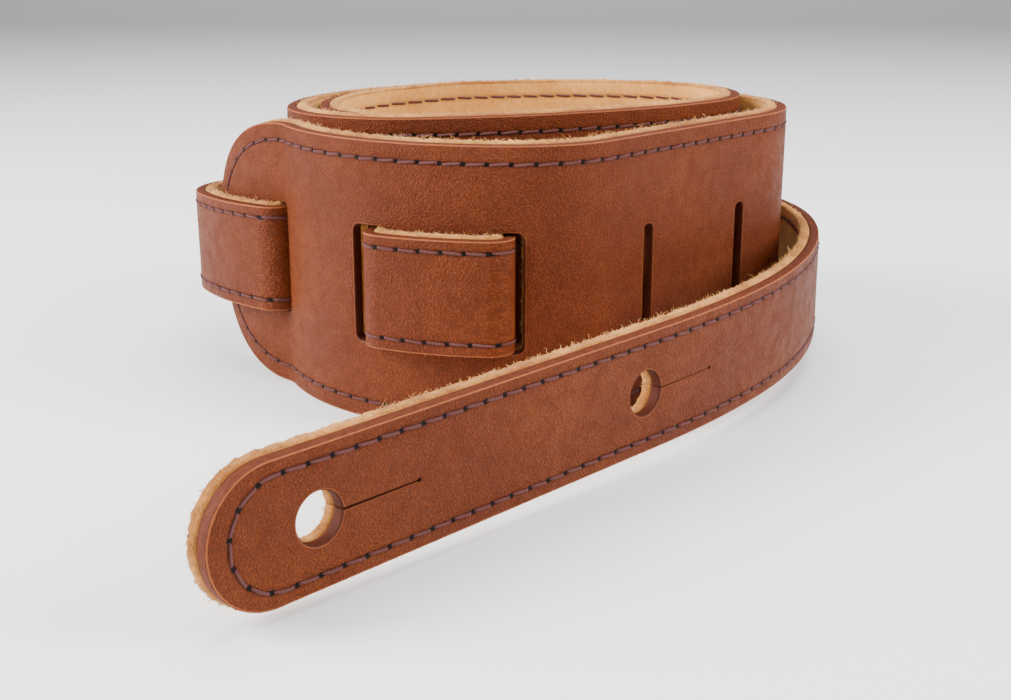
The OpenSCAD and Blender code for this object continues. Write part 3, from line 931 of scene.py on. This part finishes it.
# The straps are cut well clear of the bends that hinge
BAND_CUT = BAND_BEND - 26
TAIL_CUTS = [TAIL_BENDS[0] - 25, TAIL_BENDS[0] + 28, TAIL_BENDS[1] + 20]
BAND_SPANS = [
    Span("band", -math.inf, BAND_CUT, ["coil"]),
    Span("inner_end", BAND_CUT, math.inf, ["coil", "inner_end"], BAND_BEND)]
TAIL_SPANS = [
    Span("woven_tail", -math.inf, TAIL_CUTS[0], ["coil"]),
    Span("near_tail", TAIL_CUTS[0], TAIL_CUTS[1], ["coil", "near_tail"], TAIL_BENDS[0]),
    Span("middle_tail", TAIL_CUTS[1], TAIL_CUTS[2], ["near_tail", "middle_tail"], TAIL_BENDS[1]),
    Span("tail_tip", TAIL_CUTS[2], math.inf, ["middle_tail", "tail_tip"], TAIL_BENDS[2])]
# Loose fibres along each millimetre of the lining's cut edge
FIBRES_PER_MM = 13


def middle_us(flat, faces, per_group=1):
    """The middle distance of each face. Faces that stay together share their group's middle."""
    us = np.array([flat[list(face), 0].mean() for face in faces])
    group = np.arange(len(faces)) // per_group
    return (np.bincount(group, us) / np.bincount(group))[group]


def build(strap, pattern, spans):
    """Makes the leather, stitches and loose fibres of one strap, a span at a time."""
    for sign, part, thick, fray, materials, slot in (
            (1, "face", FACE, 0.12, (brown, brown_edge), "brown_leather"),
            (-1, "lining", LINING, 0.75, (tan, cream), "suede_lining")):
        flat, marks, faces, kinds = layer_flat(pattern, sign, thick, fray).arrays()
        us = middle_us(flat, faces)
        thread, thread_marks, thread_faces = thread_flat(pattern, sign, thick)
        thread_us = middle_us(thread, thread_faces, len(thread_faces) // pattern.seam.count)
        if sign < 0:
            hairs, hair_faces = edge_fibres(pattern.outline, pattern.holes, FIBRES_PER_MM, fray)
            hair_us = middle_us(hairs, hair_faces, len(HAIR_FACES))
        for span in spans:
            def within(values):
                return np.nonzero((values > span.first) & (values <= span.last))[0]
            keep = within(us)
            obj = make_object(f"{span.name}_{part}_leather", strap, flat, marks,
                              [faces[i] for i in keep], kinds[keep], materials, close=True)
            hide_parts(f"{span.name}_{part}")
            span.attach(obj, strap)
            keep = within(thread_us)
            obj = make_object(f"{span.name}_{part}_stitches", strap, thread, thread_marks,
                              [thread_faces[i] for i in keep], [0] * len(keep), (purple,))
            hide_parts(f"{span.name}_{part}_thread")
            span.attach(obj, strap)
            if sign < 0:
                keep = within(hair_us)
                obj = make_object(f"{span.name}_edge_fibres", strap, hairs, unsewn(len(hairs)),
                                  [hair_faces[i] for i in keep], [0] * len(keep), (strand,))
                span.attach(obj, strap)


# Each slot's width, how far it is pulled along the band, and how far below the middle it sits
SLOT_SHAPES = ((7.0, 0, 0.3), (9.0, 2.1, 0.3), (7.0, -2.3, 0.3), (3.4, 0, 2), (3.4, 2, 2))
slots = [slot_hole(FIRST_SLOT + n * SLOT_STEP + pull, width, -drop)
         for n, (width, pull, drop) in enumerate(SLOT_SHAPES)]
band_holes = slots + [button_hole(BAND_L - TONGUE_R, 0.3)]
tail_holes = [button_hole(TAIL_L - BUTTON_IN, 0.2),
              button_hole(TAIL_L - BUTTON_IN - BUTTON_STEP, 0.08)]
band_cut = band_outline(band, [BAND_CUT])
tail_cut = tail_outline(tail, TAIL_CUTS)
band_pattern = Pattern(band, band_cut, band_cut(BAND_MARGIN), band_holes, [BAND_CUT], 2.6)
tail_pattern = Pattern(tail, tail_cut, tail_cut(TAIL_MARGIN, SEAM_BACK), tail_holes, TAIL_CUTS, 1.6)
build(band, band_pattern, BAND_SPANS)
build(tail, tail_pattern, TAIL_SPANS)


# ---- Floor, light and camera -----------------------------------------------------------------

def floor():
    """A wide pale sheet that rises into a backdrop a long way behind."""
    depth, rise, radius = 2.4, 2.2, 0.9
    profile = [(-2.5, 0), (depth - radius, 0)]
    profile += [(depth - radius + radius * math.sin(a), radius - radius * math.cos(a))
                for a in np.radians(np.arange(6, 91, 6))]
    profile.append((depth, rise))
    corners = [(x, y, z) for x in (-4.0, 4.0) for y, z in profile]
    n = len(profile)
    faces = [(i, i + 1, n + i + 1, n + i) for i in range(n - 1)]
    mesh = bpy.data.meshes.new("floor")
    mesh.from_pydata(corners, [], faces)
    obj = bpy.data.objects.new("floor", mesh)
    bpy.context.scene.collection.objects.link(obj)
    paper = bpy.data.materials.new("floor_paper")
    paper.use_nodes = True
    body = paper.node_tree.nodes["Principled BSDF"]
    body.inputs["Base Color"].default_value = (0.86, 0.86, 0.86, 1)
    body.inputs["Roughness"].default_value = 0.9
    body.inputs["Specular IOR Level"].default_value = 0.1
    for face in mesh.polygons:
        face.use_smooth = True
    mesh.materials.append(paper)


def lamp(name, place, target, size, watts):
    data = bpy.data.lights.new(name, "AREA")
    data.shape = "RECTANGLE"
    data.size, data.size_y = size
    data.energy = watts
    obj = bpy.data.objects.new(name, data)
    obj.location = place
    obj.rotation_euler = (Vector(target) - Vector(place)).to_track_quat("-Z", "Y").to_euler()
    bpy.context.scene.collection.objects.link(obj)


floor()
centre = (cad_low + cad_high) / 2
lamp("left_softbox", (-0.75, -0.15, 0.42), centre, (0.4, 0.6), 22)
lamp("right_softbox", (0.80, -0.20, 0.45), centre, (0.4, 0.6), 16)
lamp("top_softbox", (0.05, 0.12, 0.95), centre, (0.8, 0.8), 13)
lamp("front_fill", (0.0, -1.3, 0.7), centre, (1.2, 0.8), 3)

world = bpy.data.worlds.new("studio")
bpy.context.scene.world = world
world.use_nodes = True
world.node_tree.nodes["Background"].inputs["Color"].default_value = (1, 1, 1, 1)
world.node_tree.nodes["Background"].inputs["Strength"].default_value = 0.28

camera = bpy.data.cameras.new("camera")
camera.lens, camera.sensor_width = 50, 36
eye = bpy.data.objects.new("camera", camera)
eye.location = (-0.0008, -0.3132, 0.1054)
eye.rotation_euler = (math.radians(73.6), 0, 0)
bpy.context.scene.collection.objects.link(eye)
bpy.context.scene.camera = eye
